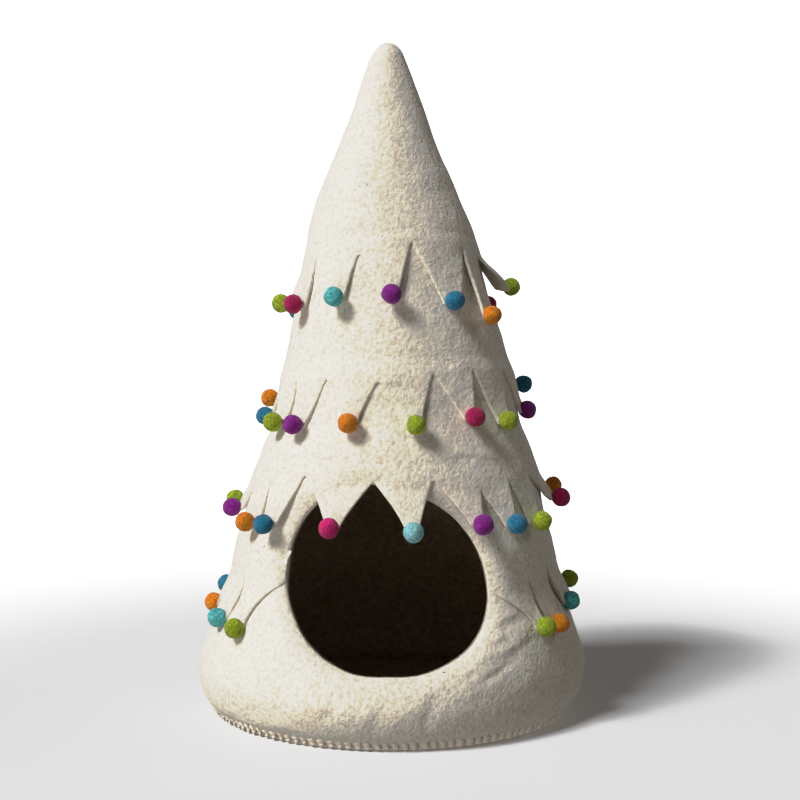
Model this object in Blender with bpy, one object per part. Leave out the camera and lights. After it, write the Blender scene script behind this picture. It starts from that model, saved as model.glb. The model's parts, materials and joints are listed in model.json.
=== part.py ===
"""A felt cat cave: a tall hollow cone of wet-felted wool with a round entrance, four zigzag collars
and a small felt ball on the end of every flap. It stands on a felt disc sewn to its foot.

Frame: metres, +Z up, the entrance faces -Y, the origin is the middle of the disc's underside.
An azimuth is in degrees round the cave: 0 is the front, 90 is +X. Tables are in millimetres.
"""

import collections
import math

import bmesh
import bpy
import numpy as np
from mathutils import Vector

MM = 0.001

# The wall.
WALL_THICK = 8 * MM
TIP_THICK = 26 * MM  # the felt closes up solid inside the tip
WALL_SIDES = 48
INSIDE_EVERY = 2  # the inside follows every second ring of the outside
WALL_RINGS = (  # height, radius, lean to +X
    (5.3, 197.0, 0.0),
    (8.5, 203.8, 0.0),
    (17, 210.0, 0.0),
    (29, 214.3, 0.6),
    (41, 216.6, 1.0),
    (53, 215.8, 1.3),
    (66, 212.6, 1.5),
    (82, 206.6, 1.6),
    (95, 202.2, 1.8),
    (108, 197.8, 2.0),
    (121, 194.0, 2.5),
    (134, 190.2, 3.0),
    (148, 186.2, 3.3),
    (162, 182.6, 3.5),
    (190, 176.2, 3.5),
    (222, 168.0, 4.5),
    (254, 158.9, 6.0),
    (276, 152.8, 6.4),
    (296, 147.0, 6.3),
    (312, 142.2, 6.3),
    (328, 138.6, 6.3),
    (345, 133.6, 6.1),
    (362, 129.6, 6.0),
    (394, 121.4, 5.4),
    (418, 116.2, 4.0),
    (452, 108.6, 2.5),
    (490, 99.0, 0.5),
    (528, 91.2, -1.0),
    (562, 79.9, -4.2),
    (584, 72.2, -4.5),
    (606, 61.9, -4.0),
    (651, 43.7, -3.6),
    (696, 28.1, -4.5),
    (718, 19.4, -3.6),
    (731, 11.4, -3.6),
    (736, 0.0, -3.6),
)

# The wall is drawn in behind each collar's flaps, and the collars hang clear of that.
Pinch = collections.namedtuple("Pinch", "height depth")
PINCHES = (Pinch(448, 2.8), Pinch(318, 6.8), Pinch(216, 3.0), Pinch(122, 11.0))
PINCH_REACH = 45 * MM  # up and down from its middle

# Hand felting leaves the cone a little out of round.
Lump = collections.namedtuple("Lump", "waves share per_metre turned")
LUMPS = (
    Lump(2, 0.012, 6.0, 90.0),
    Lump(3, 0.007, 9.0, 0.0),
    Lump(5, 0.004, 17.0, 0.0),
)
ROUND_BELOW = 45 * MM  # the lumps fade out towards the sewn foot

# The base.
BASE_RADIUS = 194 * MM
BASE_THICK = 5 * MM
BASE_BEVEL = 1 * MM

# The entrance, as seen from the front: its middle, and its edge round that middle.
ENTRANCE_MIDDLE = (-2.0, 167.0)  # x, height
ENTRANCE_POINTS = 36
ENTRANCE_EDGE = (  # angle in degrees from +X towards +Z, reach
    (0, 97.5),
    (30, 86.5),
    (60, 83.0),
    (90, 88.7),
    (120, 95.5),
    (150, 101.5),
    (180, 103.3),
    (210, 103.0),
    (240, 95.0),
    (270, 90.3),
    (300, 95.5),
    (330, 106.5),
)
ENTRANCE_FROM = -0.30  # the cut runs along Y between these
ENTRANCE_TO = -0.08

# The collars.
COLLAR_THICK = 3 * MM
COLLAR_CLEAR = 0.9 * MM  # between a collar and the wall's flat facets
COLLAR_ROWS = 5
EDGE_STEPS = 2  # a flap's edge has at least this many steps from its notch to its tip
WIDEST_STEP = 8.5  # degrees
TOP_EDGE = 0.4  # a collar's upper edge is felted down to this share of its thickness
TIP_WIDTH = 9 * MM
CURL = 1.5  # how late a flap leaves the wall on its way down
TWIST = 2.2 * MM  # how much further out one edge of a flap stands than the other
TWIST_TURN = 2.4  # radians: what keeps neighbouring flaps from twisting alike

# The balls.
BALL_RADIUS = 10 * MM
BALL_GAP = 0.4 * MM
CONE_LEAN = math.radians(14)

COLOURS = {  # sRGB, by eye
    "cream": (226, 219, 204),
    "green": (150, 176, 40),
    "crimson": (176, 26, 84),
    "teal": (84, 180, 186),
    "purple": (122, 34, 130),
    "blue": (38, 116, 150),
    "orange": (226, 130, 32),
    "aqua": (130, 208, 222),
    "pink": (206, 30, 112),
}

# One row for each flap, going round to the right. The notch is the one on the flap's right.
Flap = collections.namedtuple("Flap", "azimuth height stand colour notch_azimuth notch_height")
COLLARS = {
    "collar_1": {
        "top": 519,
        "flaps": (
            Flap(-88, 446, 14, "green", -74, 482),
            Flap(-59.2, 443, 14, "crimson", -54.5, 494),
            Flap(-30.1, 449, 14, "teal", -20.1, 495),
            Flap(-0.7, 451, 14, "purple", 13, 509),
            Flap(30.3, 445, 14, "blue", 50.2, 503),
            Flap(53.5, 431, 14, "orange", 72, 494),
            Flap(90, 462, 22, "green", 103, 490),
            Flap(118, 447, 14, "crimson", 132, 499),
            Flap(148, 452, 13, "teal", 164, 492),
            Flap(179, 444, 15, "purple", 194, 503),
            Flap(211, 450, 13, "orange", 228, 496),
            Flap(242, 441, 15, "blue", 258, 487),
        ),
    },
    "collar_2": {
        "top": 386,
        "flaps": (
            Flap(-106, 338, 15, "orange", -98, 366),
            Flap(-89, 321, 7, "blue", -73, 361),
            Flap(-61, 317, 9, "green", -54.3, 361),
            Flap(-45.6, 316, 10, "purple", -34.3, 364),
            Flap(-19.2, 319, 10, "orange", -8.2, 362),
            Flap(7.5, 318, 9, "green", 17.1, 370),
            Flap(32.4, 325, 10, "crimson", 38.1, 374),
            Flap(50.5, 320, 9, "green", 61, 373.5),
            Flap(84, 328, 6, "purple", 94, 368),
            Flap(105, 351, 15, "blue", 120, 372),
            Flap(136, 322, 10, "orange", 151, 364),
            Flap(166, 318, 9, "teal", 180, 370),
            Flap(196, 325, 11, "crimson", 211, 362),
            Flap(225, 316, 10, "purple", 240, 367),
        ),
    },
    "collar_3": {
        "top": 279,
        "flaps": (
            Flap(-101, 222, 18, "green", -93, 256),
            Flap(-84, 219, 12, "purple", -71, 253),
            Flap(-58.2, 213, 13, "orange", -55.5, 258),
            Flap(-46.5, 214, 14, "blue", -36.7, 266),
            Flap(-20.7, 215.5, 14, "pink", -8.8, 260.5),
            Flap(5.8, 213, 14, "aqua", 13.6, 263),
            Flap(28.6, 217.5, 14, "purple", 32.5, 250),
            Flap(42.3, 215.5, 14, "blue", 46.4, 259),
            Flap(57.2, 214.5, 13, "green", 62.2, 261.5),
            Flap(88, 228, 16, "crimson", 97, 257),
            Flap(106, 234, 21, "orange", 121, 263),
            Flap(136, 217, 13, "aqua", 151, 256),
            Flap(167, 222, 15, "green", 182, 264),
            Flap(198, 214, 13, "purple", 213, 258),
            Flap(229, 219, 14, "pink", 244, 262),
        ),
    },
    "collar_4": {  # it stops either side of the entrance
        "top": 181,
        "start": (32.5, 149.5),  # azimuth, height of the lower edge
        "end": (-36.5, 155.5),
        "flaps": (
            Flap(50.9, 109, 8, "green", 53, 154),
            Flap(59.1, 107.5, 8, "orange", 66.1, 163.5),
            Flap(79, 119.5, 5, "teal", 92, 157),
            Flap(104, 127, 14, "green", 118, 160),
            Flap(133, 110, 9, "crimson", 148, 155),
            Flap(163, 115, 8, "blue", 178, 161),
            Flap(193, 107, 10, "orange", 208, 154),
            Flap(222, 112, 9, "purple", 238, 160),
            Flap(250.5, 118.5, 14, "blue", 259, 157),
            Flap(269, 110, 6, "orange", 281, 156),
            Flap(294.5, 109.5, 7, "teal", 299.9, 154),
            Flap(308.3, 106.5, 8, "green", 316.5, 145),
        ),
    },
}


def clear_scene():
    for old in list(bpy.data.objects):
        bpy.data.objects.remove(old, do_unlink=True)


def linear(channel):
    """The linear value of one sRGB channel from 0 to 255."""
    share = channel / 255
    return share / 12.92 if share <= 0.04045 else ((share + 0.055) / 1.055) ** 2.4


def felt(name):
    material = bpy.data.materials.get("felt_" + name) or bpy.data.materials.new("felt_" + name)
    material.use_nodes = True
    shader = material.node_tree.nodes["Principled BSDF"]
    shader.inputs["Base Color"].default_value = [linear(c) for c in COLOURS[name]] + [1]
    shader.inputs["Roughness"].default_value = 0.95
    shader.inputs["Metallic"].default_value = 0.0
    return material


def new_object(name, bm, colour, smooth=True):
    bmesh.ops.recalc_face_normals(bm, faces=bm.faces)
    mesh = bpy.data.meshes.new(name)
    bm.to_mesh(mesh)
    bm.free()
    if smooth:
        mesh.shade_smooth()
        mesh.set_sharp_from_angle(angle=math.radians(40))
    mesh.materials.append(felt(colour))
    made = bpy.data.objects.new(name, mesh)
    bpy.context.scene.collection.objects.link(made)
    return made


def wall_column(column, height):
    """A column of WALL_RINGS at a height, both in metres."""
    heights = [row[0] * MM for row in WALL_RINGS]
    return float(np.interp(height, heights, [row[column] * MM for row in WALL_RINGS]))


def pinched(height):
    """How far the wall is drawn in at a height."""
    depth = 0.0
    for pinch in PINCHES:
        away = min(1.0, abs(height - pinch.height * MM) / PINCH_REACH)
        depth += pinch.depth * MM * math.cos(away * math.pi / 2) ** 2
    return depth


def lumpiness(azimuth, height):
    """How much wider than round the cone is here, as a share of its radius."""
    wider = 0.0
    for lump in LUMPS:
        turn = math.radians(lump.waves * azimuth + lump.turned)
        wider += lump.share * math.cos(turn) * math.cos(lump.per_metre * height)
    return wider * min(1.0, height / ROUND_BELOW) ** 2


def place(radius, azimuth, height):
    """The point at that radius, after the cone's lumps and its lean."""
    turn = math.radians(azimuth)
    radius *= 1 + lumpiness(azimuth, height)
    return Vector((wall_column(2, height) + radius * math.sin(turn), -radius * math.cos(turn), height))


def off_wall(azimuth, height, stand):
    """The point that stands that far off the cone, before it is drawn in."""
    turn = math.radians(azimuth)
    out = Vector((math.sin(turn), -math.cos(turn), 0))
    return place(wall_column(1, height), azimuth, height) + stand * out


def wall_profile():
    """The half section: from the tip down the outside, across the foot and up the inside."""
    outside = [(radius * MM - pinched(height * MM), height * MM) for height, radius, _ in WALL_RINGS]
    foot, tip = outside[0], outside[-1]
    inside = [(foot[0] - WALL_THICK, foot[1])]
    for radius, height in outside[2 : -1 : INSIDE_EVERY]:
        if height < tip[1] - 2 * TIP_THICK:
            inside.append((radius - WALL_THICK, height))
    inside.append((0.0, tip[1] - TIP_THICK))
    return outside[::-1] + inside


def entrance_reach(angle):
    """How far the entrance's edge lies from its middle at this angle, on a closed Catmull-Rom curve."""
    count = len(ENTRANCE_EDGE)
    at = (angle % 360) / 360 * count
    first = int(at)
    near = [ENTRANCE_EDGE[(first + step) % count][1] * MM for step in (-1, 0, 1, 2)]
    part = at - first
    pull = (near[2] - near[0], 2 * near[0] - 5 * near[1] + 4 * near[2] - near[3])
    bend = 3 * near[1] - 3 * near[2] + near[3] - near[0]
    return near[1] + 0.5 * part * (pull[0] + part * (pull[1] + part * bend))


def entrance_cutter():
    bm = bmesh.new()
    ring = []
    for step in range(ENTRANCE_POINTS):
        angle = 360 * step / ENTRANCE_POINTS
        reach = entrance_reach(angle)
        x = ENTRANCE_MIDDLE[0] * MM + reach * math.cos(math.radians(angle))
        z = ENTRANCE_MIDDLE[1] * MM + reach * math.sin(math.radians(angle))
        ring.append(bm.verts.new((x, ENTRANCE_FROM, z)))
    front = bm.faces.new(ring)
    pushed = bmesh.ops.extrude_face_region(bm, geom=[front])["geom"]
    moved = [item for item in pushed if isinstance(item, bmesh.types.BMVert)]
    bmesh.ops.translate(bm, verts=moved, vec=(0, ENTRANCE_TO - ENTRANCE_FROM, 0))
    cutter = new_object("entrance_cutter", bm, "cream", smooth=False)
    cutter.hide_render = True
    cutter.display_type = "WIRE"
    return cutter


def felt_wall():
    bm = bmesh.new()
    verts = [bm.verts.new((0, -radius, height)) for radius, height in wall_profile()]
    section = verts + [bm.edges.new(pair) for pair in zip(verts, verts[1:])]
    round_z = {"axis": (0, 0, 1), "cent": (0, 0, 0), "angle": math.tau}
    bmesh.ops.spin(bm, geom=section, **round_z, steps=WALL_SIDES, use_merge=True)
    bmesh.ops.remove_doubles(bm, verts=bm.verts, dist=0.01 * MM)
    for vert in bm.verts:
        radius = math.hypot(vert.co.x, vert.co.y)
        azimuth = math.degrees(math.atan2(vert.co.x, -vert.co.y))
        vert.co = place(radius, azimuth, vert.co.z)
    wall = new_object("felt_wall", bm, "cream")
    cut = wall.modifiers.new("entrance", "BOOLEAN")
    cut.operation = "DIFFERENCE"
    cut.object = entrance_cutter()
    return wall


def base_disc():
    bm = bmesh.new()
    bmesh.ops.create_cone(
        bm, cap_ends=True, segments=WALL_SIDES, radius1=BASE_RADIUS, radius2=BASE_RADIUS, depth=BASE_THICK
    )
    rims = [edge for edge in bm.edges if any(len(face.verts) == WALL_SIDES for face in edge.link_faces)]
    bmesh.ops.bevel(bm, geom=rims, offset=BASE_BEVEL, segments=1, affect="EDGES", profile=0.5, material=-1)
    disc = new_object("base_disc", bm, "cream")
    disc.location.z = BASE_THICK / 2
    return disc


Column = collections.namedtuple("Column", "azimuth low root tip stand across")


def edge_points(start, end):
    """Points along a flap's edge, as azimuth and height, from its start up to, but without, its end."""
    steps = max(EDGE_STEPS, math.ceil((end[0] - start[0]) / WIDEST_STEP))
    shares = [step / steps for step in range(steps)]
    return [tuple(near + share * (far - near) for near, far in zip(start, end)) for share in shares]


def flap_columns(flap, number, left):
    """The columns of one flap, from the notch on its left up to, but without, the one on its right."""
    half_tip = math.degrees(TIP_WIDTH / 2 / wall_column(1, flap.height * MM))
    low = flap.height * MM + math.cos(CONE_LEAN) * (BALL_RADIUS + BALL_GAP)
    low -= math.sin(CONE_LEAN) * COLLAR_THICK / 2
    right = (flap.notch_azimuth, flap.notch_height * MM)
    left_corner = (flap.azimuth - half_tip, low)
    right_corner = (flap.azimuth + half_tip, low)
    lower_edge = edge_points(left, left_corner) + [left_corner] + edge_points(right_corner, right)
    stand = flap.stand * MM - COLLAR_THICK / 2
    twist = TWIST * math.sin(TWIST_TURN * number)
    for azimuth, lowest in lower_edge:
        share = (azimuth - left[0]) / (right[0] - left[0])
        root = left[1] + share * (right[1] - left[1])
        away = (azimuth - flap.azimuth) / (right[0] - left[0])
        yield Column(azimuth, lowest, root, low, stand, twist * away)


def collar_columns(collar):
    flaps = collar["flaps"]
    if "start" in collar:
        left = (collar["start"][0], collar["start"][1] * MM)
    else:
        left = (flaps[-1].notch_azimuth - 360, flaps[-1].notch_height * MM)
    columns = []
    for number, flap in enumerate(flaps):
        columns += flap_columns(flap, number, left)
        left = (flap.notch_azimuth, flap.notch_height * MM)
    if "end" in collar:
        end = (collar["end"][0] + 360, collar["end"][1] * MM)
        columns += [Column(azimuth, low, low, 0.0, 0.0, 0.0) for azimuth, low in (left, end)]
    return columns


def sheet_point(column, height):
    """A point on the side of a collar that faces the wall."""
    drop = 0.0
    if height < column.root:
        drop = min(1.0, (column.root - height) / max(column.root - column.tip, MM))
    out = (column.stand - COLLAR_CLEAR) * math.sin(drop * math.pi / 2) ** CURL
    return off_wall(column.azimuth, height, COLLAR_CLEAR + out + column.across * drop)


def collar_lines(columns, top):
    """The points of a collar's inner side, a line from its upper to its lower edge for each column."""
    lines = []
    for column in columns:
        heights = [top + (column.low - top) * row / COLLAR_ROWS for row in range(COLLAR_ROWS + 1)]
        lines.append([sheet_point(column, height) for height in heights])
    return lines


def zigzag_collar(name, lines, closed):
    bm = bmesh.new()
    grid = [[bm.verts.new(point) for point in line] for line in lines]
    pairs = list(zip(grid, grid[1:]))
    if closed:
        pairs.append((grid[-1], grid[0]))
    for left, right in pairs:
        for row in range(COLLAR_ROWS):
            bm.faces.new((left[row], left[row + 1], right[row + 1], right[row]))
    bm.verts.index_update()
    upper_edge = [line[0].index for line in grid]
    made = new_object(name, bm, "cream")
    thickness = made.vertex_groups.new(name="thickness")
    thickness.add(range(len(made.data.vertices)), 1.0, "REPLACE")
    thickness.add(upper_edge, TOP_EDGE, "REPLACE")
    felted = made.modifiers.new("felt", "SOLIDIFY")
    felted.thickness = COLLAR_THICK
    felted.offset = 1
    felted.vertex_group = thickness.name
    return made


def ball(name, flap, left_line, right_line):
    """A ball in line with its flap, just below the end between these two lines."""
    above = (left_line[-2] + right_line[-2]) / 2
    end = (left_line[-1] + right_line[-1]) / 2
    down = (end - above).normalized()
    outward = (right_line[-1] - left_line[-1]).normalized().cross(-down)
    bm = bmesh.new()
    bmesh.ops.create_icosphere(bm, subdivisions=2, radius=BALL_RADIUS)
    made = new_object(name, bm, flap.colour)
    made.location = end + outward * COLLAR_THICK / 2 + down * (BALL_RADIUS + BALL_GAP)
    made.rotation_mode = "QUATERNION"
    made.rotation_quaternion = (-down).to_track_quat("Z", "Y")
    return made


def build():
    clear_scene()
    felt_wall()
    base_disc()
    for number, (name, collar) in enumerate(COLLARS.items(), start=1):
        columns = collar_columns(collar)
        lines = collar_lines(columns, collar["top"] * MM)
        zigzag_collar(name, lines, closed="start" not in collar)
        corners = [line for column, line in zip(columns, lines) if column.low == column.tip]
        for count, flap in enumerate(collar["flaps"]):
            ball(f"ball_{number}_{count + 1:02d}", flap, *corners[2 * count : 2 * count + 2])


build()
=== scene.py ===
# %% [markdown]
# # A felt cat cave
#
# This lesson dresses a tall hollow cone of wet-felted wool. It has a round entrance low in its
# front. Four zigzag collars ring the cone, each flap ends in a small felt ball, and a felt disc is
# whip-stitched to its foot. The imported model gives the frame: every piece made here is put where one
# of its solids already is. Sizes are in millimetres in the tables and in metres everywhere else. An
# azimuth is in degrees round the cave: 0 is the front, 90 is +X.

# %% The frame
import collections
import json
import math
import random

import bmesh
import bpy
import numpy as np
from mathutils import Matrix, Vector, noise

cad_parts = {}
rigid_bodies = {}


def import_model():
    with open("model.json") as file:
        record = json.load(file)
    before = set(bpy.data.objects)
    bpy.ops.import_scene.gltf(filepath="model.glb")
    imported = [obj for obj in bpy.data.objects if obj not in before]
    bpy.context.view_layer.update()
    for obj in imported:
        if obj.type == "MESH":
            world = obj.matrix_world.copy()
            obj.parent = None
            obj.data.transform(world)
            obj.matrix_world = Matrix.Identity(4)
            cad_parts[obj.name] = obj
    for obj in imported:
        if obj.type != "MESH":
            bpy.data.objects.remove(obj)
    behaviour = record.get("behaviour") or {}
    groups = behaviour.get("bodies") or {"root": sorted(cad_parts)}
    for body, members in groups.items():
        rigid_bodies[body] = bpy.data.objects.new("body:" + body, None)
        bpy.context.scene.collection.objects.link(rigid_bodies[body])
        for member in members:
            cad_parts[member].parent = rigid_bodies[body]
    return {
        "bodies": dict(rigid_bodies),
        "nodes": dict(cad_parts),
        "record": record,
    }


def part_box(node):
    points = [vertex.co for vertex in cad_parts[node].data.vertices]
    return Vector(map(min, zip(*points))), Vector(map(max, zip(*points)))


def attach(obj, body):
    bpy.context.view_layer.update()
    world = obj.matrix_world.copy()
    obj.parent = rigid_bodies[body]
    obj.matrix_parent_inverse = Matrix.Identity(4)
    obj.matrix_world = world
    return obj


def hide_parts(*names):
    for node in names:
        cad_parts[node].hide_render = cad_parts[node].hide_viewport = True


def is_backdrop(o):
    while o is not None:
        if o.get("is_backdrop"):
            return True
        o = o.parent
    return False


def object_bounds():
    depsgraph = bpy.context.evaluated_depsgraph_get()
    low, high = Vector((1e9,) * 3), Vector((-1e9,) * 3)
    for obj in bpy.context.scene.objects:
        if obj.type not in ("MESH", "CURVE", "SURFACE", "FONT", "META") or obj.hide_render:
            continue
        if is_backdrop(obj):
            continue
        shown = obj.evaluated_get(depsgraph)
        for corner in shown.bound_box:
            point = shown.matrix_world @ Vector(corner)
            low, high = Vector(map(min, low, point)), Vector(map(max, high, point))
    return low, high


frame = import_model()
cad_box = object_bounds()
MM = 0.001
print("The frame holds", len(frame["nodes"]), "solids,", round(cad_box[1].z / MM), "mm tall")

# %% [markdown]
# ## The cone's form
#
# The cone isn't straight-sided: felted wool bellies out low down, swells and thins on the way up, and
# the tip leans a little. A real maker gets this from the block that the wool is wrapped on. Here a
# table holds the outline as it was read from a picture, and a few passes of averaging along the
# outline round off its corners, as wet hands would. `drawn_in` is the shallow waist behind each
# collar's flaps, and `lumps` is how far the cone is out of round.

# %% The outline, its waists and its lumps
OUTLINE = (  # height, radius, lean to +X
    (5.3, 197.0, 0.0), (8.5, 203.8, 0.0), (17, 210.0, 0.0), (29, 214.3, 0.6), (41, 216.6, 1.0),
    (53, 215.8, 1.3), (66, 212.6, 1.5), (82, 206.6, 1.6), (95, 202.2, 1.8), (108, 197.8, 2.0),
    (121, 194.0, 2.5), (134, 190.2, 3.0), (148, 186.2, 3.3), (162, 182.6, 3.5), (190, 176.2, 3.5),
    (222, 168.0, 4.5), (254, 158.9, 6.0), (276, 152.8, 6.4), (296, 147.0, 6.3), (312, 142.2, 6.3),
    (328, 138.6, 6.3), (345, 133.6, 6.1), (362, 129.6, 6.0), (394, 121.4, 5.4), (418, 116.2, 4.0),
    (452, 108.6, 2.5), (490, 99.0, 0.5), (528, 91.2, -1.0), (562, 79.9, -4.2), (584, 72.2, -4.5),
    (606, 61.9, -4.0), (651, 43.7, -3.6), (696, 28.1, -4.5), (718, 20.2, -3.6), (727, 16.8, -3.6),
    (734, 12.4, -3.6), (738, 7.0, -3.6), (739, 0.0, -3.6),
)
WALL_THICK = 8 * MM
RINGS = 205
STEPS = 288  # of faces round the cone
ROUNDING_PASSES = 10

Waist = collections.namedtuple("Waist", "height depth")
WAISTS = (Waist(455, 1.6), Waist(325, 4.0), Waist(220, 2.0), Waist(138, 6.5))
WAIST_REACH = 45 * MM

Lump = collections.namedtuple("Lump", "waves share per_metre turned")
LUMPS = (Lump(2, 0.012, 6.0, 90.0), Lump(3, 0.007, 9.0, 0.0), Lump(5, 0.004, 17.0, 0.0))
ROUND_BELOW = 45 * MM


def drawn_in(height):
    """How far the wall is drawn in at these heights, behind the collars' flaps."""
    depth = np.zeros_like(height)
    for waist in WAISTS:
        away = np.clip(np.abs(height - waist.height * MM) / WAIST_REACH, 0, 1)
        depth += waist.depth * MM * np.cos(away * math.pi / 2) ** 2
    return depth


def lumps(azimuth, height):
    """How much wider than round the cone is here, as a share of its radius."""
    wider = 0.0
    for lump in LUMPS:
        wave = np.cos(np.radians(lump.waves * azimuth + lump.turned))
        wider = wider + lump.share * wave * np.cos(lump.per_metre * height)
    return wider * np.clip(height / ROUND_BELOW, 0, 1) ** 2


def rounded_outline(rings):
    """The outline from foot to tip as evenly spaced (height, radius, lean), its corners rounded off."""
    rows = np.array(OUTLINE) * MM
    along = np.append(0, np.cumsum(np.hypot(np.diff(rows[:, 0]), np.diff(rows[:, 1]))))
    even = np.linspace(0, along[-1], rings)
    line = np.stack([np.interp(even, along, rows[:, column]) for column in range(3)], axis=1)
    for _ in range(ROUNDING_PASSES):
        line[1:-1] = (line[:-2] + 2 * line[1:-1] + line[2:]) / 4
        line[-1, 0] = (line[-2, 0] + line[-1, 0]) / 2  # so that the tip stays a dome
    return line


outline = rounded_outline(RINGS)


def cone(azimuth, height, stand=0.0):
    """Points that stand this far off the cone, before its waists are drawn in."""
    turn = np.radians(azimuth)
    radius = np.interp(height, outline[:, 0], outline[:, 1]) * (1 + lumps(azimuth, height)) + stand
    lean = np.interp(height, outline[:, 0], outline[:, 2])
    return np.stack([lean + radius * np.sin(turn), -radius * np.cos(turn), height + 0 * turn], axis=-1)


print("The widest ring is", round(2 * outline[:, 1].max() / MM), "mm across")
print("The tip is", round(outline[-1, 0] / MM), "mm high")

# %% [markdown]
# ## Relief in the felt
#
# Wet felting leaves the cloth uneven: broad soft dents from the hands, small cobbles where the wool
# shrank, and creases where a thick piece was bent. The relief is a height in metres that is added to
# the cone. The dents and cobbles are smooth noise read at each point in space, so they have no seam.
# A crease is a soft trough between two places on the wall with a low ridge beside it. The creases
# right of the entrance, the wrinkles over the second collar and the puckers above the sewn foot are
# placed one by one, and a few more are put on the back so that it isn't blank.

# %% Dents, cobbles and creases
Grain = collections.namedtuple("Grain", "wavelength height")
WALL_GRAIN = (Grain(75 * MM, 1.6 * MM), Grain(28 * MM, 0.9 * MM), Grain(11 * MM, 0.4 * MM))


def grain(points, sizes, seed):
    """Smooth noise at these points, in metres, as the sum of the named sizes."""
    total = np.zeros(len(points))
    for number, size in enumerate(sizes):
        shift = Vector((seed * 3.1, number * 7.7, seed * 1.3))
        total += [size.height * noise.noise(Vector(point) / size.wavelength + shift) for point in points]
    return total


# From one end to the other: azimuth and height, then how far each side of the trough it reaches.
Crease = collections.namedtuple("Crease", "azimuth height to_azimuth to_height reach depth")
CREASES = (
    # right of the entrance
    Crease(33, 112, 45, 118.5, 4.5, 1.7), Crease(30, 95, 38, 101, 4.0, 1.5), Crease(29, 79, 46, 98, 4.5, 1.9),
    Crease(28, 70, 40, 85, 4.0, 1.5), Crease(24, 65, 32, 74, 3.5, 1.2), Crease(19, 73, 26, 75.5, 3.5, 1.0),
    # at the third collar's upper edge
    Crease(20, 281, 33, 281.5, 4.5, 1.5), Crease(33, 281.5, 45, 275, 4.5, 1.3),
    # left of the entrance
    Crease(-42, 97, -37, 103, 8, 2.0),
    # above the sewn foot
    Crease(-34, 27, -31, 46, 6, 0.9), Crease(-18, 26, -15, 52, 6, 0.9), Crease(-5, 24, -1, 58, 6, 1.1),
    Crease(8, 24, 13, 66, 6, 1.2),
    # over the second collar
    Crease(-28, 389, 38, 382, 7, 0.5), Crease(-30, 344, 41, 332, 6, 0.6), Crease(-26, 356, 30, 352, 5, 0.5),
    # on the back
    Crease(120, 60, 128, 92, 6, 1.3), Crease(168, 24, 172, 60, 6, 1.1), Crease(205, 70, 216, 88, 5, 1.5),
    Crease(204, 58, 214, 74, 5, 1.3), Crease(150, 283, 168, 279, 5, 1.2), Crease(236, 26, 239, 54, 6, 1.0),
    Crease(100, 348, 150, 340, 6, 0.6), Crease(190, 352, 246, 342, 6, 0.6),
)
CREASE_ENDS = (0.02, 0.98)  # shares of its length past which a crease grows no shallower
RIDGE_SHARE = 0.45  # how high the ridge beside a crease is, as a share of its depth
RIDGE_AWAY = 1.6  # how far off its top lies, in the crease's reaches


def creased(azimuth, height):
    """The depth of all the creases at these places, below zero in a trough and above it on a ridge."""
    total = np.zeros_like(height)
    for crease in CREASES:
        round_at = np.interp(crease.height * MM, outline[:, 0], outline[:, 1]) * math.radians(1)
        across = (azimuth - crease.azimuth + 180) % 360 - 180
        x, y = across * round_at, height - crease.height * MM
        run_up = (crease.to_height - crease.height) * MM
        run = Vector(((crease.to_azimuth - crease.azimuth) * round_at, run_up))
        share = np.clip((x * run.x + y * run.y) / run.length_squared, 0, 1)
        side = (y * run.x - x * run.y) / run.length
        apart = np.hypot(x - share * run.x, y - share * run.y) / (crease.reach * MM)
        ends = np.sin(np.clip(share, *CREASE_ENDS) * math.pi) ** 0.5
        trough = -np.exp(-(apart**2))
        ridge = RIDGE_SHARE * np.exp(-((apart - RIDGE_AWAY) ** 2)) * (side > 0)
        total += crease.depth * MM * ends * (trough + ridge)
    return total


print(len(CREASES), "creases are placed by hand")

# %% [markdown]
# ## Making a mesh into a piece
#
# Each piece is built as a bmesh and then handed over once: it becomes a mesh object at the origin,
# takes its materials, rides on the cave's one body and hides the solids that it stands for.

# %% A helper that hands a piece over
BODY = next(iter(frame["bodies"]))


def piece(name, bm, materials, replaces):
    """The finished object for a bmesh, shaded smooth and riding on the cave."""
    mesh = bpy.data.meshes.new(name)
    bm.to_mesh(mesh)
    bm.free()
    mesh.shade_smooth()
    for material in materials:
        mesh.materials.append(material)
    made = bpy.data.objects.new(name, mesh)
    bpy.context.scene.collection.objects.link(made)
    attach(made, BODY)
    if replaces:
        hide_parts(*replaces)
    print(name, "has", sum(len(face.vertices) - 2 for face in mesh.polygons), "triangles")
    return made


print("Every piece rides on the body", BODY)

# %% [markdown]
# ## Felt as a material
#
# Felt is matte and a little hairy. Seen close, it is a mat of crimped fibres in small swirls: light
# from the side picks them out as a fine worm-like mottle. Here that is bump from noise with a strong
# distortion, at two sizes, with a coarser noise for the cobbles that are too small to model. The
# colour drifts between a lighter and a darker tone at the same places: partly the wool's own uneven
# tone, and partly painted shade, darker in the bump's hollows so that the mottle shows in the shade
# too. A sheen stands for the haze of loose fibre at the edges. All of it reads Object coordinates, so
# it runs on from the cone to its collars without a seam.

# %% Nodes for wool felt
def linear(channel):
    """The linear value of one sRGB channel from 0 to 255."""
    share = channel / 255
    return share / 12.92 if share <= 0.04045 else ((share + 0.055) / 1.055) ** 2.4


def tone(colour, gain=1.0):
    return [min(1.0, linear(channel) * gain) for channel in colour] + [1.0]


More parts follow.
